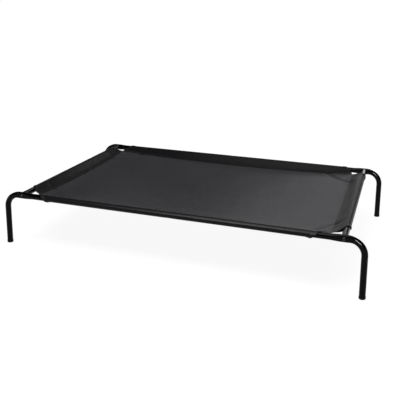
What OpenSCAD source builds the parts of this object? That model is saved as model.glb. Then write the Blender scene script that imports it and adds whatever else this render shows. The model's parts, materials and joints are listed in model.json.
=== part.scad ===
// Raised pet cot: a bolted frame of bent steel tube that carries a sewn fabric sling.
// Millimetres, +X along the cot, +Z up, origin on the floor under the middle of the bed.

/* [Frame] */
// Distance between the leg axes, measured at the height of the rails
leg_spacing = 1282; // [900:1:1500]
// Distance between the axes of the two side rails
rail_spacing = 784; // [500:1:1000]
// Height of the rail axes above the floor
rail_h = 194; // [150:1:320]
// Outer diameter of the tube
tube_d = 21; // [18:0.5:26]
// Wall of the tube
tube_wall = 1.2; // [0.9:0.1:1.8]
// Radius of the bend between rail and leg, on the tube's axis
bend_r = 52; // [40:1:75]
// Outward lean of the legs, in degrees
leg_lean = 2.4; // [0:0.1:6]
// Distance from a leg axis in to the end rail's axis, at rail height
end_rail_inset = 64; // [60:1:120]

/* [Bolted corners] */
// How much taller than the tube the rail is where it is pressed flat for the bolt
press_extra_h = 4; // [2:0.5:5]
// Length of the pressed flat along the rail
press_len = 22; // [16:1:30]
// Length over which the pressed flat runs out towards the middle of the rail
press_runout = 38; // [25:1:42]
// Length over which it runs out towards the bend
press_runout_bend = 26; // [15:1:32]
// Diameter of the corner bolts
bolt_d = 6; // [5:0.5:8]
// Diameter of the domed bolt head
bolt_head_d = 10.5; // [9:0.5:14]
// Height of the domed bolt head
bolt_head_h = 3.4; // [2.5:0.1:5]
// Width across the flats of the bolt's hexagon socket
bolt_key = 4; // [3:0.5:5]
// Depth of the hexagon socket
bolt_key_depth = 2; // [1:0.1:2.2]
// Length of the threaded plug in the end rail
nut_plug_len = 22; // [12:1:40]
// Width of the crimp groove round the threaded plug
crimp_w = 4; // [2:0.5:6]
// Depth of the crimp groove
crimp_depth = 0.8; // [0.4:0.1:1.5]

/* [Middle joints] */
// Length of the swaged spigot that slides into the other half of the rail
spigot_len = 70; // [40:1:120]
// Length of the shoulder between the tube and its spigot
swage_len = 9; // [4:1:20]
// Radial clearance between pieces that slide together
slip_gap = 0.15; // [0.05:0.05:0.3]

/* [Feet] */
// Diameter of the foot's head
foot_d = 22.4; // [20:0.1:34]
// Height of the foot's head along the leg
foot_h = 8; // [5:0.5:15]
// Rounding of the foot's lower edge
foot_round = 2.6; // [1:0.1:4]
// Length of the stem in the leg
stem_len = 26; // [15:1:60]
// Number of ribs that grip the leg
stem_ribs = 4; // [2:1:6]
// Height of one rib
rib_h = 2; // [1:0.5:2.5]
// Depth of the ribs
rib_depth = 1.3; // [0.5:0.1:2]

/* [Sling] */
// Thickness of the cloth
cloth_t = 0.8; // [0.6:0.1:1.5]
// Slack between the tube and its sleeve
sleeve_slack = 0.3; // [0.2:0.1:1.5]
// Distance from a rail's axis in to the seam of its sleeve
seam_in = 46; // [38:1:70]
// Drop of the seam below the rail's axis
seam_drop = 15; // [5:1:25]
// Width of the sewn double cloth at the seam
seam_w = 12; // [8:1:16]
// Drop of the bed's middle below the seams
bed_sag = 30; // [5:1:60]
// Length of side rail left bare between its sleeve and the end rail's axis
side_bare = 74; // [72:1:110]
// Length of end rail left bare between its sleeve and the side rail's axis
end_bare = 77; // [60:1:110]
// How far a sleeve's end slants back across the under side of the tube
sleeve_slant = 30; // [10:1:45]
// Depth of the fold that crosses each corner of the bed
fold_depth = 4; // [0:0.5:10]
// Distance from a corner of the bed in to its fold
fold_in = 72; // [40:1:150]
// Half the width of the fold
fold_w = 25; // [15:1:40]

/* [Hidden] */
$fn = 64;
// Bores run past the ends of the solids that they cut
past = 1;

left = -1;
right = 1;
front = -1;
back = 1;

frame_black = "#17181a";
foot_black = "#101011";
bolt_black = "#222325";
plug_zinc = "#a9adb0";
cloth_charcoal = "#37383b";
sleeve_charcoal = "#2c2d30";

tube_r = tube_d / 2;
bore_r = tube_r - tube_wall;
rail_y = rail_spacing / 2;
leg_x = leg_spacing / 2;
end_rail_x = leg_x - end_rail_inset;

// The bend turns the rail into its leaning leg
turn = 90 - leg_lean;
bend_x = leg_x - bend_r * tan(turn / 2);
leg_top_drop = bend_r * (1 - cos(turn));
foot_x = leg_x + rail_h * tan(leg_lean);
leg_len = (rail_h - leg_top_drop) / cos(leg_lean) - foot_h;

// Pressing keeps the tube's girth, so the flat gets narrower as it gets taller
press_h = tube_d + press_extra_h;
press_w = tube_d - 2 * press_extra_h / (PI - 2);
press_start = press_len / 2 + press_runout;
// Beyond the end rail's axis the pressed length follows the rail into its bend
bend_ahead = bend_x - end_rail_x;
bend_lead = 8;
press_end = max(press_len / 2 + press_runout_bend, bend_ahead + bend_lead);
press_sides = 32;
press_steps = 5;
// The faceted run-out ends just inside the round tube's wall and laps it
facet_inset = 0.1;
facet_lap = 0.5;

spigot_r = bore_r - slip_gap;
swaged_wall = tube_wall;
plug_r = bore_r - slip_gap;
bolt_hole_r = bolt_d / 2 + slip_gap;
// The bolt's tip stays inside its plug by this much
bolt_short = 2;
bolt_len = press_w + nut_plug_len - bolt_short;
end_rail_half = rail_y - press_w / 2;
// The foot's head reaches a little past the floor before it is cut flat there
foot_extra = 0.6;
foot_edge_r = foot_d / 2 - foot_round;
cut_size = 4 * foot_d;

sleeve_in_r = tube_r + sleeve_slack;
sleeve_out_r = sleeve_in_r + cloth_t;
tangent_inset = 0.05;
bed_half_x = end_rail_x - seam_in;
bed_half_y = rail_y - seam_in;
cutter = 6 * seam_in;
under_cut_angle = atan2(sleeve_slant, 2 * sleeve_out_r);
bed_cells_x = 26;
bed_cells_y = 20;

function ease(t) = t * t * (3 - 2 * t);
function clamp(t) = max(0, min(1, t));
function blend(a, b, t) = a + (b - a) * t;

// Path of the rail's axis, q along it from the end rail's axis: the turn so far and the place
function path_turn(q) = max(0, q - bend_ahead) / bend_r * 180 / PI;
function path_x(q) = min(q, bend_ahead) + bend_r * sin(path_turn(q));
function path_z(q) = -bend_r * (1 - cos(path_turn(q)));

// Rings of the pressed flat, from round tube through the flat to round tube in the bend
function press_places() = concat(
    [for (k = [0 : press_steps]) -press_start + press_runout * k / press_steps],
    [for (k = [0 : press_steps]) blend(press_len / 2, press_end, k / press_steps)]
);
function press_share(q) =
    1 - ease(clamp((abs(q) - press_len / 2) / (q < 0 ? press_runout : press_runout_bend)));
function press_ring(q, w, h) = [
    for (i = [0 : press_sides - 1])
        let (
            a = (i + 0.5) * 360 / press_sides,
            up = w * sin(a) + sign(sin(a)) * (h - w)
        )
        [
            path_x(q) + up * sin(path_turn(q)),
            w * cos(a) / cos(180 / press_sides),
            path_z(q) + up * cos(path_turn(q))
        ]
];
function press_skin(wall, inset) = [
    for (q = press_places())
        let (share = press_share(q), skin = inset * (1 - share))
        press_ring(
            q,
            blend(tube_r, press_w / 2, share) - wall - skin,
            blend(tube_r, press_h / 2, share) - wall - skin
        )
];

// Triangles of a tube wall between an outer and an inner stack of rings
function at(stack, ring, side, rings, sides) = (stack * rings + ring) * sides + side % sides;
function wall_faces(rings, sides) = [
    for (k = [0 : rings - 2], i = [0 : sides - 1], half = [0, 1], stack = [0, 1])
        let (
            a = at(stack, k, i, rings, sides),
            b = at(stack, k + 1, i, rings, sides),
            c = at(stack, k + 1, i + 1, rings, sides),
            d = at(stack, k, i + 1, rings, sides),
            f = half == 0 ? [a, b, c] : [a, c, d]
        )
        stack == 0 ? f : [f[2], f[1], f[0]]
];
function rim_faces(rings, sides) = [
    for (k = [0, rings - 1], i = [0 : sides - 1], half = [0, 1])
        let (
            a = at(0, k, i, rings, sides),
            b = at(0, k, i + 1, rings, sides),
            c = at(1, k, i + 1, rings, sides),
            d = at(1, k, i, rings, sides),
            f = half == 0 ? [a, b, c] : [a, c, d]
        )
        k == 0 ? f : [f[2], f[1], f[0]]
];

module hollow_loft(outer, inner) {
    rings = len(outer);
    sides = len(outer[0]);
    polyhedron(
        points = [for (stack = [outer, inner], ring = stack, p = ring) p],
        faces = concat(wall_faces(rings, sides), rim_faces(rings, sides))
    );
}

// Straight tube along +X from x0 to x1
module tube_run(x0, x1, outer_r, inner_r) {
    translate([x0, 0, 0])
        rotate([0, 90, 0])
            difference() {
                cylinder(r = outer_r, h = x1 - x0);
                translate([0, 0, -past])
                    cylinder(r = inner_r, h = x1 - x0 + 2 * past);
            }
}

// Flat that is pressed into the side rail, with its bolt hole right through
module pressed_flat() {
    translate([end_rail_x, 0, 0])
        difference() {
            hollow_loft(press_skin(0, facet_inset), press_skin(tube_wall, -facet_inset));
            rotate([90, 0, 0])
                cylinder(r = bolt_hole_r, h = 2 * press_w, center = true);
        }
}

// The rest of the bend and the leg, drawn from the bend's centre with the leg along -Y
module bend_and_leg() {
    translate([bend_x, 0, -bend_r])
        rotate([0, -leg_lean, 0])
            rotate([90, 0, 0]) {
                rotate_extrude(angle = turn - path_turn(press_end - facet_lap))
                    translate([bend_r, 0])
                        difference() {
                            circle(r = tube_r);
                            circle(r = bore_r);
                        }
                translate([bend_r, 0, 0])
                    rotate([90, 0, 0])
                        difference() {
                            cylinder(r = tube_r, h = leg_len);
                            translate([0, 0, -past])
                                cylinder(r = bore_r, h = leg_len + 2 * past);
                        }
            }
}

// Shoulder and spigot that slide into the other half of the rail
module spigot() {
    rotate([0, 90, 0])
        difference() {
            cylinder(r1 = spigot_r, r2 = tube_r, h = swage_len);
            cylinder(r1 = spigot_r - swaged_wall, r2 = bore_r, h = swage_len);
        }
    tube_run(-spigot_len, 0, spigot_r, spigot_r - swaged_wall);
}

// Half of a side rail with its leg, on the +X side, axis at z = 0
module rail_half(has_spigot) {
    tube_run(has_spigot ? swage_len : 0, end_rail_x - press_start + facet_lap, tube_r, bore_r);
    if (has_spigot)
        spigot();
    pressed_flat();
    bend_and_leg();
}

// Puts a piece that is drawn for the right end at either end and either side
module corner(end, side, z = 0) {
    translate([0, side * rail_y, z])
        mirror([end == left ? 1 : 0, 0, 0])
            mirror([0, side == front ? 1 : 0, 0])
                children();
}

module side_rail(end, side) {
    color(frame_black)
        corner(end, side, rail_h)
            rail_half(end == left);
}

module end_rail(end) {
    color(frame_black)
        translate([end * end_rail_x, 0, rail_h])
            rotate([90, 0, 0])
                difference() {
                    cylinder(r = tube_r, h = 2 * end_rail_half, center = true);
                    cylinder(r = bore_r, h = 2 * (end_rail_half + past), center = true);
                }
}

// Outline of the foot, turned about the leg's axis: ribbed stem, head and rounded lower edge
module foot_outline() {
    core_r = bore_r - slip_gap - rib_depth;
    pitch = stem_len / stem_ribs;
    translate([0, foot_h - past])
        square([core_r, stem_len + past]);
    for (k = [0 : stem_ribs - 1])
        translate([0, foot_h + pitch * (k + 0.5)])
            polygon([[0, -rib_h / 2], [bore_r - slip_gap, -rib_h / 2], [core_r, rib_h / 2], [0, rib_h / 2]]);
    translate([0, foot_round - foot_extra])
        square([foot_d / 2, foot_h - foot_round + foot_extra]);
    translate([0, -foot_extra])
        square([foot_edge_r, foot_h]);
    translate([foot_edge_r, foot_round - foot_extra])
        intersection() {
            circle(r = foot_round);
            translate([0, -foot_round])
                square(foot_round);
        }
}

module foot(end, side) {
    color(foot_black)
        corner(end, side)
            difference() {
                translate([foot_x, 0, 0])
                    rotate([0, -leg_lean, 0])
                        rotate_extrude()
                            foot_outline();
                translate([foot_x, 0, -cut_size / 2])
                    cube(cut_size, center = true);
            }
}

// Domed bolt from the outside of the side rail into the end rail's plug
module bolt(end, side) {
    dome_r = (pow(bolt_head_d / 2, 2) + pow(bolt_head_h, 2)) / (2 * bolt_head_h);
    color(bolt_black)
        corner(end, side, rail_h)
            translate([end_rail_x, press_w / 2, 0])
                rotate([-90, 0, 0])
                    difference() {
                        union() {
                            rotate_extrude()
                                intersection() {
                                    translate([0, bolt_head_h - dome_r])
                                        circle(r = dome_r);
                                    square([bolt_head_d / 2, bolt_head_h]);
                                }
                            translate([0, 0, -bolt_len])
                                cylinder(d = bolt_d, h = bolt_len + bolt_head_h / 2);
                        }
                        translate([0, 0, bolt_head_h - bolt_key_depth])
                            cylinder(d = bolt_key / cos(30), h = bolt_head_h, $fn = 6);
                    }
}

// Threaded plug that is crimped into the end rail, flush with its end
module nut_plug(end, side) {
    color(plug_zinc)
        corner(end, side, rail_h)
            translate([end_rail_x, -press_w / 2, 0])
                rotate([90, 0, 0])
                    difference() {
                        cylinder(r = plug_r, h = nut_plug_len);
                        translate([0, 0, -past])
                            cylinder(r = bolt_hole_r, h = nut_plug_len + 2 * past);
                        translate([0, 0, (nut_plug_len - crimp_w) / 2])
                            difference() {
                                cylinder(r = tube_r, h = crimp_w);
                                translate([0, 0, -past])
                                    cylinder(r = plug_r - crimp_depth, h = crimp_w + 2 * past);
                            }
                    }
}

// Teardrop from a circle to a tip: where the tip's tangents leave a circle just inside it
function tangent(r, tip, turn_sign) =
    let (
        inside = r - tangent_inset,
        a = atan2(tip[1], tip[0]) + turn_sign * acos(inside / norm(tip))
    )
    [inside * cos(a), inside * sin(a)];

module teardrop(r, upper, lower) {
    circle(r = r);
    polygon([[0, 0], tangent(r, lower, -1), lower, upper, tangent(r, upper, 1)]);
}

// Section of a sleeve: u runs in from the rail's axis, v is the height above it
module sleeve_section() {
    tip = [seam_in - seam_w, -seam_drop * (seam_in - seam_w) / seam_in];
    seam = [seam_in, -seam_drop];
    lift = [0, cloth_t];
    difference() {
        union() {
            teardrop(sleeve_out_r, tip + lift, tip - lift);
            polygon([tip - lift, seam - lift, seam + lift, tip + lift]);
        }
        teardrop(sleeve_in_r, tip, tip);
    }
}

// Sleeve along +X, centred, with u along -Y
module sleeve(half_len) {
    rotate([90, 0, 90])
        translate([0, 0, -half_len])
            mirror([1, 0, 0])
                linear_extrude(height = 2 * half_len)
                    sleeve_section();
}

// Takes away what lies past a sleeve's end, which slants out from the bare tube to the bed's corner
module sleeve_cut(half_len, bare) {
    tube_half = half_len + seam_in - bare;
    translate([tube_half, 0, 0])
        rotate([0, 0, atan2(bare - seam_in, seam_in)])
            translate([0, -cutter / 2, -cutter / 2])
                cube(cutter);
    translate([tube_half, sleeve_out_r, sleeve_out_r])
        rotate([0, under_cut_angle, 0])
            translate([0, -2 * sleeve_out_r, -cutter / 2])
                cube([cutter, 4 * sleeve_out_r, cutter]);
}

module cut_sleeve(half_len, bare) {
    difference() {
        sleeve(half_len);
        sleeve_cut(half_len, bare);
        mirror([1, 0, 0])
            sleeve_cut(half_len, bare);
    }
}

module side_sleeve(side) {
    color(sleeve_charcoal)
        corner(right, side, rail_h)
            cut_sleeve(bed_half_x, side_bare);
}

module end_sleeve(end) {
    color(sleeve_charcoal)
        translate([end * end_rail_x, 0, rail_h])
            rotate([0, 0, -end * 90])
                cut_sleeve(bed_half_y, end_bare);
}

// The bed hangs from its seams, with a fold across each corner that its seams hold flat
function bed_step(i, cells) = sin(180 * i / cells - 90);
function bed_fold(s, t) =
    let (
        a = bed_half_x * (1 - abs(s)),
        b = bed_half_y * (1 - abs(t)),
        off = (a + b) / sqrt(2) - fold_in,
        held = 4 * a * b / pow(max(a + b, cloth_t), 2)
    )
    fold_depth * held * exp(-pow(off / fold_w, 2));
function bed_point(s, t, lift) = [
    s * bed_half_x,
    t * bed_half_y,
    rail_h - seam_drop - bed_sag * (1 - s * s) * (1 - t * t) - bed_fold(s, t) + lift
];
function bed_points(lift) = [
    for (i = [0 : bed_cells_x], j = [0 : bed_cells_y])
        bed_point(bed_step(i, bed_cells_x), bed_step(j, bed_cells_y), lift)
];
function bed_index(layer, i, j) = (layer * (bed_cells_x + 1) + i) * (bed_cells_y + 1) + j;
function quad(a, b, c, d) = [[a, b, c], [a, c, d]];
function bed_faces() = [
    for (i = [0 : bed_cells_x - 1], j = [0 : bed_cells_y - 1])
        each concat(
            quad(bed_index(0, i, j), bed_index(0, i, j + 1), bed_index(0, i + 1, j + 1), bed_index(0, i + 1, j)),
            quad(bed_index(1, i, j), bed_index(1, i + 1, j), bed_index(1, i + 1, j + 1), bed_index(1, i, j + 1))
        ),
    for (i = [0 : bed_cells_x - 1])
        each concat(
            quad(bed_index(0, i, 0), bed_index(0, i + 1, 0), bed_index(1, i + 1, 0), bed_index(1, i, 0)),
            quad(
                bed_index(1, i, bed_cells_y), bed_index(1, i + 1, bed_cells_y),
                bed_index(0, i + 1, bed_cells_y), bed_index(0, i, bed_cells_y)
            )
        ),
    for (j = [0 : bed_cells_y - 1])
        each concat(
            quad(bed_index(1, 0, j), bed_index(1, 0, j + 1), bed_index(0, 0, j + 1), bed_index(0, 0, j)),
            quad(
                bed_index(0, bed_cells_x, j), bed_index(0, bed_cells_x, j + 1),
                bed_index(1, bed_cells_x, j + 1), bed_index(1, bed_cells_x, j)
            )
        )
];

module bed_panel() {
    color(cloth_charcoal)
        polyhedron(points = concat(bed_points(cloth_t / 2), bed_points(-cloth_t / 2)), faces = bed_faces());
}

side_rail(left, front);  // front_left_rail
side_rail(right, front);  // front_right_rail
side_rail(left, back);  // back_left_rail
side_rail(right, back);  // back_right_rail
end_rail(left);  // left_end_rail
end_rail(right);  // right_end_rail
foot(left, front);  // front_left_foot
foot(right, front);  // front_right_foot
foot(left, back);  // back_left_foot
foot(right, back);  // back_right_foot
bolt(left, front);  // front_left_bolt
bolt(right, front);  // front_right_bolt
bolt(left, back);  // back_left_bolt
bolt(right, back);  // back_right_bolt
nut_plug(left, front);  // front_left_nut_plug
nut_plug(right, front);  // front_right_nut_plug
nut_plug(left, back);  // back_left_nut_plug
nut_plug(right, back);  // back_right_nut_plug
bed_panel();
side_sleeve(front);  // front_sleeve
side_sleeve(back);  // back_sleeve
end_sleeve(left);  // left_sleeve
end_sleeve(right);  // right_sleeve
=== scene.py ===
import json
import math

import bpy
import numpy as np
from mathutils import Matrix, Vector

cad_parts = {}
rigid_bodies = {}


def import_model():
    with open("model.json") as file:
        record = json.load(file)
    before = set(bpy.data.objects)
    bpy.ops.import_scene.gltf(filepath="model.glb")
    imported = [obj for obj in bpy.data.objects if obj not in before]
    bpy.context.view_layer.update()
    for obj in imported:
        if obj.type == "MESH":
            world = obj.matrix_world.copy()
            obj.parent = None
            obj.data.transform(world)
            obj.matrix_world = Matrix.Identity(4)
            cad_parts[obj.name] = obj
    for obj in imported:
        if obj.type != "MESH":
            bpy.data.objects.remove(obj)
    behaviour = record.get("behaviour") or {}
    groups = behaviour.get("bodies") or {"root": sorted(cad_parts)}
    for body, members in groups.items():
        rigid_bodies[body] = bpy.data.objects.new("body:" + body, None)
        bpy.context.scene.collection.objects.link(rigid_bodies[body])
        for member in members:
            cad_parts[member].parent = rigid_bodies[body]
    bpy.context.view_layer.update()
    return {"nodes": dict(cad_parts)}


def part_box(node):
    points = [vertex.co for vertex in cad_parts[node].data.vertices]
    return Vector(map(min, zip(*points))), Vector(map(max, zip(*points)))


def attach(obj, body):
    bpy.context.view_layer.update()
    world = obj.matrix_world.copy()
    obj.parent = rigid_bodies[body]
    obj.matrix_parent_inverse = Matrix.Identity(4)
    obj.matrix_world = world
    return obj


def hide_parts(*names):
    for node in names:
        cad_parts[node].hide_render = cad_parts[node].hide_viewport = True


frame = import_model()
nodes = frame["nodes"]
scene = bpy.context.scene
scene.view_settings.view_transform = "Standard"
print("frame loaded:", len(nodes), "nodes")

# sizes that the frame gives
endLow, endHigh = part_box("right_end_rail")
tubeR = (endHigh.z - endLow.z) / 2
railZ = (endHigh.z + endLow.z) / 2
endX = (endHigh.x + endLow.x) / 2
footLow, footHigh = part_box("back_right_foot")
railY = (footHigh.y + footLow.y) / 2  # the legs lean along x only
headLow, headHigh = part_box("back_right_bolt")
headR = (headHigh.x - headLow.x) / 2


# camera, fitted to the photo's tube edges, bends and feet
cameraLook = {
    "place": (0.69744, -2.13653, 0.89889),
    "heading": 18.667,  # degrees to the left of +Y
    "pitch": -19.120,
    "roll": 0.748,
    "sensor": 36.0,
    "lens": 53.63,
    "clip": 200,
}


def makeCamera(look):
    data = bpy.data.cameras.new("camera")
    data.sensor_width = look["sensor"]
    data.lens = look["lens"]
    data.clip_end = look["clip"]
    camera = bpy.data.objects.new("camera", data)
    scene.collection.objects.link(camera)
    turn = Matrix.Rotation(math.radians(look["heading"]), 4, "Z")
    tilt = Matrix.Rotation(math.radians(90 + look["pitch"]), 4, "X")
    roll = Matrix.Rotation(math.radians(look["roll"]), 4, "Z")
    camera.matrix_world = Matrix.Translation(look["place"]) @ turn @ tilt @ roll
    scene.camera = camera


makeCamera(cameraLook)
print("camera placed")


# shader wiring: sums on wires add Math nodes
class Wire:
    def __init__(self, tree, socket=None):
        self.tree = tree
        self.socket = socket

    def node(self, kind, settings, sockets, out=0):
        made = self.tree.nodes.new(kind)
        for name, value in settings.items():
            setattr(made, name, value)
        for name, value in sockets.items():
            if isinstance(value, Wire):
                self.tree.links.new(value.socket, made.inputs[name])
            else:
                made.inputs[name].default_value = value
        return Wire(self.tree, made.outputs[out])

    def out(self, name):
        return Wire(self.tree, self.socket.node.outputs[name])

    def sums(self, operation, first, second=0.0, third=0.0):
        return self.node("ShaderNodeMath", {"operation": operation}, {0: first, 1: second, 2: third})

    def __add__(self, other):
        return self.sums("ADD", self, other)

    def __radd__(self, other):
        return self.sums("ADD", other, self)

    def __sub__(self, other):
        return self.sums("SUBTRACT", self, other)

    def __rsub__(self, other):
        return self.sums("SUBTRACT", other, self)

    def __mul__(self, other):
        return self.sums("MULTIPLY", self, other)

    def __rmul__(self, other):
        return self.sums("MULTIPLY", other, self)

    def __truediv__(self, other):
        return self.sums("DIVIDE", self, other)

    def __rtruediv__(self, other):
        return self.sums("DIVIDE", other, self)

    def ramp(self, low, high):
        return self.node("ShaderNodeMapRange", {"interpolation_type": "SMOOTHSTEP"},
                         {"Value": self, "From Min": low, "From Max": high})

    def mix(self, first, second):  # 6, 7 and 2 are the Mix node's colour sockets
        return self.node("ShaderNodeMix", {"data_type": "RGBA"}, {0: self, 6: first, 7: second}, 2)

    def noise(self, place, scale, detail):
        return self.node("ShaderNodeTexNoise", {}, {"Vector": place, "Scale": scale, "Detail": detail})

    def bump(self, height, strength, distance, normal=None):
        sockets = {"Height": height, "Strength": strength, "Distance": distance}
        if normal:
            sockets["Normal"] = normal
        return self.node("ShaderNodeBump", {}, sockets)


def newFinish(name, fixed):
    finish = bpy.data.materials.new(name)
    finish.use_nodes = True
    shader = finish.node_tree.nodes["Principled BSDF"]
    for socket, value in fixed.items():
        shader.inputs[socket].default_value = value
    return finish, shader, Wire(finish.node_tree)


def feed(wire, shader, **ends):
    for name, value in ends.items():
        wire.tree.links.new(value.socket, shader.inputs[name.replace("_", " ")])


def grey(level, cool=0.0):
    return (level, level * (1 - cool / 2), level * (1 + cool), 1)


# cloth: the meshes carry "weave", the place across and along the threads and the wear
plainWeave = {
    "pitch": 0.0011,      # thread to thread
    "dip": 0.55,          # how far a thread sinks off the middle of a crossing
    "weftLag": 0.5,       # keeps the weft's tones apart from the warp's
    # the first of the three shares below is painted shade: the weave is darker where its threads dip
    "hollowShadeTone": 0.34,   # three shares of the tone
    "threadTone": 0.26,
    "cloudTone": 0.40,
    "slubScale": 140.0,
    "rubEven": 0.35,      # share of the rubbing that doesn't follow the slubs
    "rubFrom": 0.25,
    "rubTo": 0.90,
    "cloudRough": 0.12,
    "crownPolish": 0.08,  # the crowns of the threads are smoother
    "rubRough": 0.10,
    "slubDeep": 0.0006,
    "weaveDeep": 0.00025,
}


def clothFinish(name, look):
    finish, shader, wire = newFinish(name, look["fixed"])
    weave = wire.node("ShaderNodeAttribute", {"attribute_name": "weave"}, {}, "Vector")
    across = wire.node("ShaderNodeSeparateXYZ", {}, {"Vector": weave}, "X")
    along, wear = across.out("Y"), across.out("Z")
    warpAt, weftAt = across / look["pitch"], along / look["pitch"]
    warpThread, weftThread = wire.sums("FLOOR", warpAt), wire.sums("FLOOR", weftAt)
    warpHump = wire.sums("SINE", wire.sums("FRACT", warpAt) * math.pi)
    weftHump = wire.sums("SINE", wire.sums("FRACT", weftAt) * math.pi)
    over = wire.sums("PINGPONG", warpThread + weftThread, 1.0)  # plain weave: over one, under one
    warp = warpHump * (1 - look["dip"] + look["dip"] * weftHump)
    weft = weftHump * (1 - look["dip"] + look["dip"] * warpHump)
    height = warp * over + weft * (1 - over)
    each = {"noise_dimensions": "1D"}
    warpTone = wire.node("ShaderNodeTexWhiteNoise", each, {"W": warpThread})
    weftTone = wire.node("ShaderNodeTexWhiteNoise", each, {"W": weftThread + look["weftLag"]})
    thread = warpTone * over + weftTone * (1 - over)
    cloud = wire.noise(weave, look["cloudScale"], detail=4.0)
    slub = wire.noise(weave, look["slubScale"], detail=3.0)
    # the height share paints shade into the weave, so the dips between the threads come out darker
    tone = look["hollowShadeTone"] * height + look["threadTone"] * thread + look["cloudTone"] * cloud
    cloth = tone.mix(look["dark"], look["light"])
    rubbed = wear * (look["rubEven"] + (1 - look["rubEven"]) * slub)
    rubbed = rubbed.ramp(look["rubFrom"], look["rubTo"])
    colour = (rubbed * look["rub"]).mix(cloth, look["rubbed"])
    rough = look["rough"] + look["cloudRough"] * cloud - look["crownPolish"] * height
    rough = rough + look["rubRough"] * rubbed
    slubs = wire.bump(slub, look["slubBump"], look["slubDeep"])
    threads = wire.bump(height, look["weaveBump"], look["weaveDeep"], slubs)
    feed(wire, shader, Base_Color=colour, Roughness=rough, Normal=threads)
    return finish


panelCloth = clothFinish("charcoal bed cloth", {
    **plainWeave,
    "fixed": {"Specular IOR Level": 0.25, "Sheen Weight": 0.02, "Sheen Roughness": 0.45,
              "Sheen Tint": grey(0.8)},
    "dark": grey(0.0145, 0.10),
    "light": grey(0.036, 0.10),
    "rubbed": grey(0.058, 0.03),
    "rub": 0.35,
    "rough": 0.42,
    "cloudScale": 9.0,
    "slubBump": 0.10,
    "weaveBump": 0.28,
})
# the sleeve cloth is a darker copy of the bed cloth: its darker colours are painted shade
shadedSleeveCloth = clothFinish("charcoal sleeve cloth", {
    **plainWeave,
    "fixed": {"Specular IOR Level": 0.10, "Sheen Weight": 0.01, "Sheen Roughness": 0.45,
              "Sheen Tint": grey(0.8)},
    "dark": grey(0.0035, 0.10),
    "light": grey(0.009, 0.10),
    "rubbed": grey(0.016, 0.03),
    "rub": 0.35,
    "rough": 0.34,
    "cloudScale": 12.0,
    "slubBump": 0.05,
    "weaveBump": 0.14,
})


# thread: "weave" is the place along and around each stitch
def threadFinish(name, look):
    finish, shader, wire = newFinish(name, look["fixed"])
    weave = wire.node("ShaderNodeAttribute", {"attribute_name": "weave"}, {}, "Vector")
    along = wire.node("ShaderNodeSeparateXYZ", {}, {"Vector": weave}, "X")
    around = along.out("Y")
    twist = wire.sums("SINE", (along / look["lay"] + around) * (2 * math.pi)) * 0.5 + 0.5
    fuzz = wire.noise(weave, look["fuzzScale"], detail=3.0)
    # the twist share is painted shade: the grooves between the turns come out darker
    tone = look["twistShadeShare"] * twist + (1 - look["twistShadeShare"]) * fuzz
    feed(wire, shader, Base_Color=tone.mix(look["dark"], look["light"]),
         Roughness=look["rough"] + look["fuzzRough"] * fuzz,
         Normal=wire.bump(twist, look["twistBump"], look["twistDeep"]))
    return finish


seamThread = threadFinish("black seam thread", {
    "fixed": {"Specular IOR Level": 0.35, "Sheen Weight": 0.1, "Sheen Roughness": 0.5},
    "dark": grey(0.016),
    "light": grey(0.050),
    "rough": 0.5,
    "lay": 0.0008,  # one turn of the twist
    # share of painted shade in the twist's grooves
    "twistShadeShare": 0.6,
    "twistBump": 0.5,
    "twistDeep": 0.00015,
    "fuzzScale": 900.0,
    "fuzzRough": 0.15,
})


# coated metal of the tubes and plugs
coating = {
    "scuff": 0.4,
    "scuffFrom": 0.56,
    "scuffTo": 0.72,
    "scuffAbove": 0.12,  # share of the scuffs that show higher up
    "cloudRough": 0.14,
    "wornRough": 0.22,
    "peelDeep": 0.00005,
}


def tubeFinish(name, look):
    finish, shader, wire = newFinish(name, look["fixed"])
    place = wire.node("ShaderNodeTexCoord", {}, {}, "Object")
    high = wire.node("ShaderNodeSeparateXYZ", {}, {"Vector": place}, "Z")
    cloud = wire.noise(place, look["cloudScale"], detail=3.0)
    peel = wire.noise(place, look["peelScale"], detail=2.0)
    scuff = wire.noise(place, look["scuffScale"], detail=5.0).ramp(look["scuffFrom"], look["scuffTo"])
    low = 1 - high.ramp(look["scuffLow"], look["scuffHigh"])  # legs get scuffed near the floor
    worn = scuff * (look["scuffAbove"] + (1 - look["scuffAbove"]) * low)
    paint = cloud.mix(look["dark"], look["light"])
    feed(wire, shader, Base_Color=(worn * look["scuff"]).mix(paint, look["scuffed"]),
         Roughness=look["rough"] + look["cloudRough"] * cloud + look["wornRough"] * worn,
         Normal=wire.bump(peel, look["peelBump"], look["peelDeep"]))
    return finish


blackPaint = tubeFinish("black powder coat", {
    **coating,
    "fixed": {"Specular IOR Level": 0.075},
    "dark": grey(0.0008),
    "light": grey(0.0022),
    "scuffed": grey(0.03),
    "rough": 0.10,
    "cloudScale": 18.0,
    "peelScale": 700.0,
    "peelBump": 0.25,
    "scuffScale": 60.0,
    "scuffLow": 0.008,
    "scuffHigh": 0.07,
})
plugZinc = tubeFinish("zinc plug", {
    **coating,
    "fixed": {"Metallic": 1.0},
    "dark": grey(0.36),
    "light": grey(0.5),
    "scuffed": grey(0.25),
    "rough": 0.3,
    "cloudScale": 60.0,
    "peelScale": 1500.0,
    "peelBump": 0.2,
    "scuffScale": 120.0,
    "scuffLow": 0.1,
    "scuffHigh": 0.3,
})


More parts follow.
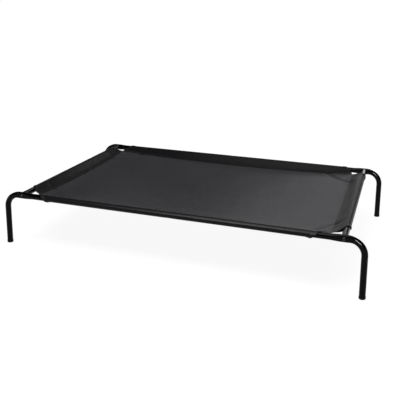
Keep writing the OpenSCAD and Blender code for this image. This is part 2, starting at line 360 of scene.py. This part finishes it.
# feet
def footFinish(name, look):
    finish, shader, wire = newFinish(name, look["fixed"])
    place = wire.node("ShaderNodeTexCoord", {}, {}, "Object")
    high = wire.node("ShaderNodeSeparateXYZ", {}, {"Vector": place}, "Z")
    grain = wire.noise(place, look["grainScale"], detail=2.0)
    cloud = wire.noise(place, look["cloudScale"], detail=4.0)
    dust = (1 - high.ramp(0.0, look["dustHigh"])) * (look["dustEven"] + (1 - look["dustEven"]) * cloud)
    plastic = cloud.mix(look["dark"], look["light"])
    feed(wire, shader, Base_Color=(dust * look["dust"]).mix(plastic, look["dusty"]),
         Roughness=look["rough"] + look["grainRough"] * grain + look["dustRough"] * dust,
         Normal=wire.bump(grain, look["grainBump"], look["grainDeep"]))
    return finish


footPlastic = footFinish("black foot plastic", {
    "fixed": {"Specular IOR Level": 0.12},
    "dark": grey(0.003),
    "light": grey(0.007),
    "dusty": grey(0.03),
    "dust": 0.4,
    "dustHigh": 0.004,
    "dustEven": 0.3,
    "dustRough": 0.15,
    "rough": 0.45,
    "cloudScale": 90.0,
    "grainScale": 2400.0,
    "grainRough": 0.1,
    "grainBump": 0.3,
    "grainDeep": 0.00006,
})


# bolts: the distance from the bolt's axis finds the rim and the socket; the socket is painted near black as
# shade
def boltFinish(name, look):
    finish, shader, wire = newFinish(name, look["fixed"])
    place = wire.node("ShaderNodeTexCoord", {}, {}, "Object")
    east = wire.node("ShaderNodeSeparateXYZ", {}, {"Vector": place}, "X")
    offX = wire.sums("ABSOLUTE", east) - look["axisX"]
    offZ = east.out("Z") - look["axisZ"]
    reach = wire.sums("SQRT", offX * offX + offZ * offZ)
    socket = 1 - reach.ramp(look["socketR"] * look["socketEdge"], look["socketR"])
    rim = reach.ramp(look["headR"] * look["rimFrom"], look["headR"])
    grit = wire.noise(place, look["gritScale"], detail=4.0)
    steel = grit.mix(look["dark"], look["light"])
    worn = (rim * grit.ramp(look["wornFrom"], look["wornTo"])).mix(steel, look["worn"])
    # the socket's colour is painted shade in its hollow
    feed(wire, shader, Base_Color=socket.mix(worn, look["deep"]),
         Roughness=look["rough"] + look["gritRough"] * grit + look["socketRough"] * socket,
         Normal=wire.bump(grit, look["gritBump"], look["gritDeep"]))
    return finish


boltSteel = boltFinish("black bolt steel", {
    "fixed": {"Metallic": 0.85},
    "axisX": endX,
    "axisZ": railZ,
    "headR": headR,
    "rimFrom": 0.78,     # shares of the radius
    "socketR": 0.0023,
    "socketEdge": 0.92,
    "dark": grey(0.03),
    "light": grey(0.07),
    "worn": grey(0.16),
    "wornFrom": 0.4,
    "wornTo": 0.7,
    # painted shade inside the hex socket
    "deep": grey(0.004),
    "rough": 0.26,
    "socketRough": 0.2,
    "gritScale": 900.0,
    "gritRough": 0.2,
    "gritBump": 0.2,
    "gritDeep": 0.00004,
})
print("finishes mixed")

nodeFinish = {"rail": blackPaint, "foot": footPlastic, "bolt": boltSteel, "plug": plugZinc}
for name, node in nodes.items():
    kind = name.split("_")[-1]
    if kind in nodeFinish:
        node.data.materials.clear()
        node.data.materials.append(nodeFinish[kind])
print("frame painted")


# cloth meshes
def gridNormals(grid):
    overI, overJ = np.gradient(grid, axis=0), np.gradient(grid, axis=1)
    normals = np.cross(overI, overJ)
    return normals / np.linalg.norm(normals, axis=2, keepdims=True)


def link(name, verts, faces, weave, finish):
    mesh = bpy.data.meshes.new(name)
    mesh.from_pydata(verts.tolist(), [], faces)
    threads = mesh.attributes.new("weave", "FLOAT_VECTOR", "POINT")
    threads.data.foreach_set("vector", weave.astype(np.float32).ravel())
    mesh.shade_smooth()
    mesh.materials.append(finish)
    piece = bpy.data.objects.new(name, mesh)
    scene.collection.objects.link(piece)
    return piece


def clothSolid(name, grid, weave, thick, finish):
    rows, cols = grid.shape[:2]
    normals = gridNormals(grid)
    half = np.broadcast_to(thick, (rows, cols))[..., None] / 2
    verts = np.concatenate([(grid + normals * half).reshape(-1, 3), (grid - normals * half).reshape(-1, 3)])
    count = rows * cols
    index = np.arange(count).reshape(rows, cols)
    quads = np.stack([index[:-1, :-1], index[1:, :-1], index[1:, 1:], index[:-1, 1:]], axis=-1).reshape(-1, 4)
    edge = np.concatenate([index[:-1, 0], index[-1, :-1], index[:0:-1, -1], index[0, :0:-1]])
    after = np.roll(edge, -1)
    rim = np.stack([after, edge, edge + count, after + count], axis=-1)
    faces = np.concatenate([quads, quads[:, ::-1] + count, rim]).tolist()
    piece = link(name, verts, faces, np.concatenate([weave.reshape(-1, 3)] * 2), finish)
    loops = {frozenset(pair) for pair in zip(edge.tolist(), after.tolist())}
    for line in piece.data.edges:  # the cut edges are crisp
        one, two = line.vertices
        if frozenset((one % count, two % count)) in loops and one // count == two // count:
            line.use_edge_sharp = True
    return piece


def gridArea(grid):
    one = np.cross(grid[1:, :-1] - grid[:-1, :-1], grid[:-1, 1:] - grid[:-1, :-1])
    two = np.cross(grid[1:, :-1] - grid[1:, 1:], grid[:-1, 1:] - grid[1:, 1:])
    return float((np.linalg.norm(one, axis=2) + np.linalg.norm(two, axis=2)).sum() / 2)


def lineLength(points):
    return float(np.linalg.norm(np.diff(points, axis=0), axis=1).sum())


def smooth(t):
    t = np.clip(t, 0, 1)
    return t * t * (3 - 2 * t)


def spaced(count, crowd):
    even = np.linspace(-1, 1, count + 1)
    return (1 - crowd) * even + crowd * np.sin(even * math.pi / 2)  # closer together at the ends


# the bed
panelLook = {
    "slot": "bed_cloth",
    "cellsX": 190,
    "cellsY": 130,
    "crowd": 0.6,
    "thick": 0.0008,
    "seamIn": 0.046,      # rail axis to the seam
    "under": 0.010,       # cloth that goes on under the sleeve
    "underGrow": 0.030,   # from none at the corners to all of it
    "cornerDrop": 0.009,  # seam below the rail axis at the corners
    "sideDrop": 0.012,    # and this much lower half way along the side seams
    "endDrop": 0.009,
    "sag": 0.012,
    "upturn": 0.007,      # the bed curves up to its seams
    "upturnWide": 0.032,
    "facet": 0.100,       # the crease that cuts off each corner
    "cornerLift": 0.003,
    "crease": 0.0030,
    "creaseWide": 0.012,
    # depth, waves in a metre of x and of y, lag
    "waves": ((0.0005, 2.3, 0.9, 0.4), (0.0004, -1.7, 2.6, 1.9), (0.0002, 4.3, -3.1, 4.1)),
    "calmWide": 0.08,     # the seams hold the waves down
    "pucker": 0.00035,
    "puckerLong": 0.027,
    "puckerWide": 0.018,
    "trim": 0.0015,       # corner of the cut rounded off
    "seamWear": 0.8,
    "seamWearWide": 0.012,
    "lainWear": 0.35,     # rubbed where it is lain on
    "lainWide": 0.5,
}
bedX = endX - panelLook["seamIn"]
bedY = railY - panelLook["seamIn"]


def bedHeight(x, y):
    look = panelLook
    s, t = x / bedX, y / bedY
    inX, inY = bedX - abs(x), bedY - abs(y)
    inside = np.maximum(np.minimum(inX, inY), 0)
    drop = look["cornerDrop"] + look["sideDrop"] * (1 - s * s) + look["endDrop"] * (1 - t * t)
    drop = drop + look["sag"] * (1 - s * s) * (1 - t * t)
    turn = look["upturn"] * (1 - np.exp(-inside / look["upturnWide"]))
    lift = look["cornerLift"] * np.clip(1 - (inX + inY) / look["facet"], 0, 1)
    crease = look["crease"] * np.exp(-((inX + inY - look["facet"]) / look["creaseWide"]) ** 2)
    wave = sum(deep * np.sin(2 * math.pi * (perX * x + perY * y) + lag)
               for deep, perX, perY, lag in look["waves"])
    calm = np.clip(inside / look["calmWide"], 0, 1)
    alongSeam = np.where(inY < inX, x, y)
    pucker = look["pucker"] * np.sin(2 * math.pi * alongSeam / look["puckerLong"])
    pucker = pucker * np.exp(-inside / look["puckerWide"])
    return railZ - drop - turn + lift - crease + wave * calm + pucker


def makePanel(look, finish):
    across, along = spaced(look["cellsX"], look["crowd"]), spaced(look["cellsY"], look["crowd"])
    s, t = np.meshgrid(across, along, indexing="ij")
    x = s * (bedX + look["under"] * smooth((1 - abs(t)) * bedY / look["underGrow"]))
    y = t * (bedY + look["under"] * smooth((1 - abs(s)) * bedX / look["underGrow"]))
    fromCorner = np.hypot(bedX - abs(x), bedY - abs(y))
    trim = look["trim"] * np.exp(-fromCorner / (2 * look["trim"]))
    x, y = x - np.sign(x) * trim, y - np.sign(y) * trim
    grid = np.stack([x, y, bedHeight(x, y)], axis=-1)
    inside = np.maximum(np.minimum(bedX - abs(x), bedY - abs(y)), 0)
    seamWear = look["seamWear"] * np.exp(-inside / look["seamWearWide"])
    lainWear = look["lainWear"] * np.exp(-(s * s + t * t) / look["lainWide"] ** 2)
    weave = np.stack([x, y, np.maximum(seamWear, lainWear)], axis=-1)
    panel = clothSolid("bedPanel", grid, weave, look["thick"], finish)
    middle = [count // 2 for count in grid.shape[:2]]
    flat = (round(lineLength(grid[middle[0]]), 3), round(lineLength(grid[:, middle[1]]), 3))
    return panel, flat, round(gridArea(grid), 4)


# the sleeves: each goes from its seam over the tube, round it and back to the seam
sleeveLook = {
    "slot": "sleeve_cloth",
    "thick": 0.0008,
    "slack": 0.0003,
    "seamWide": 0.012,
    "stations": 120,
    "crowd": 0.75,
    "strip": 6,          # cells in the seam, then on to the tube and round it
    "tail": 12,
    "round": 30,
    "soften": 14,
    "belly": 0.0015,     # slack in the lower layer
    "hem": 0.014,        # cloth turned in at the ends
    "hemStep": 0.0015,
    "seamFree": 0.008,   # the hem fades out this close to the seam
    "flareTop": 0.0006,
    "flareUnder": 0.0022,
    "tubeNear": 0.006,   # what is further from the tube doesn't flare
    "joint": -0.003,     # the split in the side rails shows as a slight dip
    "jointWide": 0.013,
    "jointDip": 0.0004,
    "slant": 0.030,      # the ends slant back under the tube
    "bare": {"side": (0.074, 2.0), "end": (0.077, 2.4)},  # bare tube to the next rail, curve of the cut
    "endWearWide": 0.006,
    "topWear": 0.55,
    "topWearWide": 0.005,
    "seamWear": 0.7,
    "seamWearWide": 0.003,
}


def tangentAngle(radius, u, z, side):
    return np.arctan2(z, u) + side * np.arccos(radius / np.hypot(u, z))


def blend(first, second, count):
    t = np.linspace(0, 1, count + 1)[None, :]
    return first[:, None] + (second - first)[:, None] * t


def sleeveSections(look, seamZ):
    reach = panelLook["seamIn"]
    tipU = reach - look["seamWide"]
    tipZ = seamZ * tipU / reach
    radius = tubeR + look["slack"] + look["thick"] / 2
    lift = look["thick"]
    topU = np.full_like(seamZ, tipU)
    seamU = np.full_like(seamZ, reach)
    topAngle = tangentAngle(radius, topU, tipZ + lift, 1)
    lowAngle = tangentAngle(radius, topU, tipZ - lift, -1) + 2 * math.pi
    angle = blend(topAngle, lowAngle, look["round"])
    roundU, roundZ = radius * np.cos(angle), radius * np.sin(angle)
    belly = look["belly"] * np.sin(np.linspace(0, math.pi, look["tail"] + 1))[None, :]
    u = np.concatenate([
        blend(seamU, topU, look["strip"]), blend(topU, roundU[:, 0], look["tail"])[:, 1:], roundU[:, 1:],
        blend(roundU[:, -1], topU, look["tail"])[:, 1:], blend(topU, seamU, look["strip"])[:, 1:]], axis=1)
    z = np.concatenate([
        blend(seamZ + lift, tipZ + lift, look["strip"]),
        blend(tipZ + lift, roundZ[:, 0], look["tail"])[:, 1:], roundZ[:, 1:],
        (blend(roundZ[:, -1], tipZ - lift, look["tail"]) - belly)[:, 1:],
        blend(tipZ - lift, seamZ - lift, look["strip"])[:, 1:]], axis=1)
    bends = look["strip"] + look["tail"] - 2
    for _ in range(look["soften"]):  # cloth turns its corners in a curve
        for part in (slice(1, bends), slice(-bends, -1)):
            first = slice(part.start - 1, part.stop - 1)
            last = slice(part.start + 1, part.stop + 1 or None)
            for line in (u, z):
                line[:, part] = line[:, part] / 2 + (line[:, first] + line[:, last]) / 4
    return u, z


def cutEnds(look, kind, seamHalf, u, under):
    bare, curve = look["bare"][kind]
    reach = panelLook["seamIn"]
    short = 1 - np.clip(u / reach, 0, 1)
    return seamHalf - (bare - reach) * short ** curve - under * look["slant"] * short


def makeSleeve(name, look, finish, kind, along, inward, centre, seamHalf):
    along, inward, centre = (np.array(v, float) for v in (along, inward, centre))
    reach = panelLook["seamIn"]
    share = spaced(look["stations"], look["crowd"])
    seam = centre + inward * reach + along * (share * seamHalf)[:, None]
    u, z = sleeveSections(look, bedHeight(seam[:, 0], seam[:, 1]) - railZ)
    flank = look["strip"] + look["tail"]
    under = np.concatenate([np.zeros(flank), np.linspace(0, 1, look["round"] + 1), np.ones(flank)])
    under = smooth(under)[None, :]
    half = cutEnds(look, kind, seamHalf, u, under)
    place = share[:, None] * half
    fromEnd = (1 - abs(share))[:, None] * half
    away = np.hypot(u, z)
    isRound = smooth(1 - (away - tubeR) / look["tubeNear"])
    loose = 1 - smooth((u - reach + look["seamWide"] + look["seamFree"]) / look["seamFree"])
    hem = loose * smooth((look["hem"] - fromEnd) / look["hemStep"])
    flare = look["flareTop"] + (look["flareUnder"] - look["flareTop"]) * under
    flare = flare * smooth(1 - fromEnd / look["hem"])
    stand = isRound * flare + hem * look["thick"] / 2
    if kind == "side":
        split = look["joint"] * along[0]
        stand = stand - look["jointDip"] * isRound * np.exp(-((place - split) / look["jointWide"]) ** 2)
    u, z = u * (1 + stand / away), z * (1 + stand / away)
    grid = centre + along * place[..., None] + inward * u[..., None]
    grid[..., 2] = railZ + z
    thick = look["thick"] * (1 + hem)
    step = np.hypot(np.diff(u, axis=1), np.diff(z, axis=1))
    girth = np.concatenate([np.zeros((len(share), 1)), np.cumsum(step, axis=1)], axis=1)
    endWear = np.exp(-fromEnd / look["endWearWide"])
    topWear = look["topWear"] * np.exp(-((z - tubeR) / look["topWearWide"]) ** 2) * isRound
    seamWear = look["seamWear"] * np.exp(-(reach - u) / look["seamWearWide"])
    wear = np.maximum(np.maximum(endWear, topWear), seamWear)
    sleeve = clothSolid(name, grid, np.stack([place, girth, wear], axis=-1), thick, finish)
    middle = len(share) // 2
    flat = (round(float(girth[middle, -1]), 3), round(2 * float(half.max()), 3))
    return sleeve, grid, thick, fromEnd, flat, round(gridArea(grid), 4)


# the stitches: two rows along each seam, on both layers, and one round each hem
threadLook = {
    "thick": 0.0005,
    "pitch": 0.0052,
    "long": 0.0042,
    "sides": 6,
    "girths": (0.3, 0.85, 1.0, 0.85, 0.3),  # shares of the thickness along a stitch
    "rise": 0.55,                           # its middle stands out of the cloth
    "sink": 0.85,                           # and its ends go down into it
    "rows": (0.0025, 0.0085),
    "hemRow": 0.0105,
    "spare": 2,                             # cells left free at the ends of a row
}


def walk(points, pitch):
    step = np.linalg.norm(np.diff(points, axis=0), axis=1)
    gone = np.concatenate([[0], np.cumsum(step)])
    count = max(1, int(gone[-1] / pitch))
    return gone, (np.arange(count) + 0.5) * gone[-1] / count


def readAt(gone, values, spots):
    return np.stack([np.interp(spots, gone, values[:, k]) for k in range(3)], axis=-1)


def stitchRow(points, normals, look):
    gone, spots = walk(points, look["pitch"])
    share = np.linspace(-1, 1, len(look["girths"]))
    fat = np.array(look["girths"]) * look["thick"]
    rise = (look["rise"] - look["sink"] * share ** 2) * look["thick"]
    ringAt = spots[:, None] + share[None, :] * look["long"] / 2
    middle = readAt(gone, points, ringAt.ravel()).reshape(*ringAt.shape, 3)
    up = readAt(gone, normals, ringAt.ravel()).reshape(*ringAt.shape, 3)
    up = up / np.linalg.norm(up, axis=2, keepdims=True)
    run = np.gradient(middle, axis=1)
    run = run / np.linalg.norm(run, axis=2, keepdims=True)
    flank = np.cross(up, run)
    angle = np.arange(look["sides"]) * 2 * math.pi / look["sides"]
    ring = flank[:, :, None] * np.cos(angle)[:, None] + up[:, :, None] * np.sin(angle)[:, None]
    verts = (middle + up * rise[:, None])[:, :, None] + ring * fat[:, None, None]
    weave = np.zeros_like(verts)
    weave[..., 0] = (share * look["long"] / 2)[None, :, None]
    weave[..., 1] = (angle / (2 * math.pi))[None, None, :]
    weave[..., 2] = spots[:, None, None]
    return verts.reshape(-1, 3), weave.reshape(-1, 3), len(spots)


def stitchFaces(count, look):
    rings, sides = len(look["girths"]), look["sides"]
    one = []
    for k in range(rings - 1):
        for i in range(sides):
            j = (i + 1) % sides
            one.append([k * sides + i, k * sides + j, (k + 1) * sides + j, (k + 1) * sides + i])
    caps = [list(range(sides))[::-1], [(rings - 1) * sides + i for i in range(sides)]]
    size = rings * sides
    return [[n * size + i for i in face] for n in range(count) for face in one + caps]


def makeStitches(name, grid, thick, fromEnd, finish, look):
    normals = gridNormals(grid)
    skin = grid + normals * (thick[..., None] / 2)
    strip, spare = sleeveLook["strip"], look["spare"]
    rows = []
    inRow = slice(spare, -spare)
    for off in look["rows"]:
        spot = off / sleeveLook["seamWide"] * strip
        low, part = int(spot), spot - int(spot)
        for first, second in ((low, low + 1), (-1 - low, -2 - low)):
            rows.append((skin[inRow, first] * (1 - part) + skin[inRow, second] * part, normals[inRow, first]))
    inHem = slice(strip + spare, -strip - spare)
    for order in (slice(None), slice(None, None, -1)):  # one end, then the other
        gap = fromEnd[order][:len(fromEnd) // 2]
        cols = np.arange(gap.shape[1])
        place = np.array([np.interp(look["hemRow"], gap[:, j], np.arange(len(gap))) for j in cols])
        low = np.floor(place).astype(int)
        part = (place - low)[:, None]
        line = skin[order][low, cols] * (1 - part) + skin[order][low + 1, cols] * part
        rows.append((line[inHem], normals[order][low, cols][inHem]))
    verts, weave, counts = zip(*(stitchRow(points, ups, look) for points, ups in rows))
    return link(name, np.concatenate(verts), stitchFaces(sum(counts), look), np.concatenate(weave), finish)


panel, panelFlat, panelArea = makePanel(panelLook, panelCloth)
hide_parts("bed_panel")
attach(panel, "root")
print("bed panel", panelFlat, "m cut,", len(panel.data.vertices), "points")

# kind, way along, way in, middle of the rail, half the seam, rails inside
sleeves = {
    "front": ("side", (-1, 0, 0), (0, 1, 0), (0, -railY, 0), bedX, ["front_left_rail", "front_right_rail"]),
    "back": ("side", (1, 0, 0), (0, -1, 0), (0, railY, 0), bedX, ["back_left_rail", "back_right_rail"]),
    "left": ("end", (0, 1, 0), (1, 0, 0), (-endX, 0, 0), bedY, ["left_end_rail"]),
    "right": ("end", (0, -1, 0), (-1, 0, 0), (endX, 0, 0), bedY, ["right_end_rail"]),
}
for side, (kind, runs, inward, centre, seamHalf, rails) in sleeves.items():
    sleeve, grid, thick, fromEnd, flat, area = makeSleeve(
        side + "Sleeve", sleeveLook, shadedSleeveCloth, kind, runs, inward, centre, seamHalf)
    stitches = makeStitches(side + "Stitches", grid, thick, fromEnd, seamThread, threadLook)
    for piece in (sleeve, stitches):
        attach(piece, "root")
    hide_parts(side + "_sleeve")
    print(side, "sleeve", flat, "m cut,", len(stitches.data.vertices), "stitch points")
[side + "Sleeve" for side in sleeves]
print("sling sewn")


# floor and backdrop, white to the camera
coveLook = {
    "reach": 10.0,
    "high": 5.0,
    "bend": 2.0,
    "sides": 96,
    "steps": 12,
    "tone": 0.14,
    "rough": 0.9,
    "glow": 0.93,    # near the cot, and full further off
    "near": 1.4,
    "far": 4.0,
    "dimFrom": 0.8,  # in reflections it dims with height
    "dimTo": 2.2,
}


def coveFinish(name, look):
    finish, shader, wire = newFinish(name, {
        "Base Color": grey(look["tone"]), "Roughness": look["rough"],
        "Specular IOR Level": 0.0, "Emission Strength": 1.0})
    camera = wire.node("ShaderNodeLightPath", {}, {}, "Is Camera Ray")
    mirrored = wire.sums("MAXIMUM", camera.out("Is Glossy Ray"), camera.out("Is Transmission Ray"))
    place = wire.node("ShaderNodeTexCoord", {}, {}, "Object")
    high = wire.node("ShaderNodeSeparateXYZ", {}, {"Vector": place}, "Z")
    reach = wire.node("ShaderNodeVectorMath", {"operation": "LENGTH"}, {0: place}, "Value")
    glow = look["glow"] + (1 - look["glow"]) * reach.ramp(look["near"], look["far"])
    seen = wire.sums("MAXIMUM", camera, mirrored * (1 - high.ramp(look["dimFrom"], look["dimTo"])))
    feed(wire, shader, Emission_Color=(seen * glow).mix(grey(0.0), grey(1.0)))
    return finish


def makeCove(look):
    turn = np.linspace(0, math.pi / 2, look["steps"] + 1)
    start = look["reach"] - look["bend"]
    outline = [(start + look["bend"] * math.sin(a), look["bend"] * (1 - math.cos(a))) for a in turn]
    outline.append((look["reach"], look["high"]))
    count = look["sides"]
    around = np.arange(count) * 2 * math.pi / count
    verts = [(r * math.cos(a), r * math.sin(a), z) for r, z in outline for a in around]
    faces = [list(range(count))]
    for k in range(len(outline) - 1):
        for i in range(count):
            j = (i + 1) % count
            faces.append([k * count + j, k * count + i, (k + 1) * count + i, (k + 1) * count + j])
    mesh = bpy.data.meshes.new("cove")
    mesh.from_pydata(verts, [], faces)
    mesh.polygons.foreach_set("use_smooth", [False] + [True] * (len(faces) - 1))
    cove = bpy.data.objects.new("cove", mesh)
    scene.collection.objects.link(cove)
    mesh.materials.append(coveFinish("white studio cove", look))


# lamps: one with "only" lights the gloss of the pieces whose names end so, and nothing else
lampLook = {
    "key": {"place": (-0.20, -1.20, 2.60), "aim": (0.0, -0.05, 0.15), "size": (1.4, 1.0), "power": 52.0},
    "front": {"place": (-0.35, -2.30, 1.85), "aim": (0.0, -0.05, 0.15), "size": (1.1, 0.5), "power": 80.0,
              "only": "frontSleeve"},
    "over": {"place": (0.5, 0.3, 2.50), "aim": (0.5, 0.3, 0.0), "size": (2.0, 1.6), "power": 18.0},
    "behindRight": {"place": (0.3, 3.00, 1.65), "aim": (0.1, 0.1, 0.18), "size": (1.3, 0.9), "power": 7.4},
    "behindLeft": {"place": (-1.4, 3.00, 2.60), "aim": (0.1, 0.1, 0.18), "size": (1.5, 1.0), "power": 2.1},
    "behindMiddle": {"place": (-0.4, 3.00, 0.80), "aim": (0.1, 0.1, 0.18), "size": (0.5, 0.4), "power": 0.7},
    "behindLow": {"place": (0.75, 3.00, 0.85), "aim": (0.4, 0.1, 0.15), "size": (1.1, 0.3), "power": 4.8,
                  "only": "rail"},
    "behindHigh": {"place": (0.1, 3.00, 2.80), "aim": (-0.57, -0.35, 0.2), "size": (1.4, 0.5), "power": 12.0,
                   "only": "left_end_rail"},
    "side": {"place": (1.75, -2.30, 1.30), "aim": (0.45, -0.1, 0.15), "size": (0.25, 1.2), "power": 170.0,
             "only": "rail"},
}
airTone = 0.06


def makeLamp(name, look):
    data = bpy.data.lights.new(name, "AREA")
    data.shape = "RECTANGLE"
    data.size, data.size_y = look["size"]
    data.energy = look["power"]
    lamp = bpy.data.objects.new(name, data)
    scene.collection.objects.link(lamp)
    lamp.visible_camera = False
    lamp.location = look["place"]
    aim = Vector(look["aim"]) - Vector(look["place"])
    lamp.rotation_euler = aim.to_track_quat("-Z", "Y").to_euler()
    if "only" in look:
        lit = bpy.data.collections.new(name + "Lit")
        for piece in scene.objects:
            if piece.name.endswith(look["only"]):
                lit.objects.link(piece)
        lamp.light_linking.receiver_collection = lit
        lamp.visible_diffuse = False


makeCove(coveLook)
world = bpy.data.worlds.new("studio")
world.use_nodes = True
world.node_tree.nodes["Background"].inputs["Color"].default_value = grey(airTone)
scene.world = world
for name, look in lampLook.items():
    makeLamp(name, look)
print("studio lit")
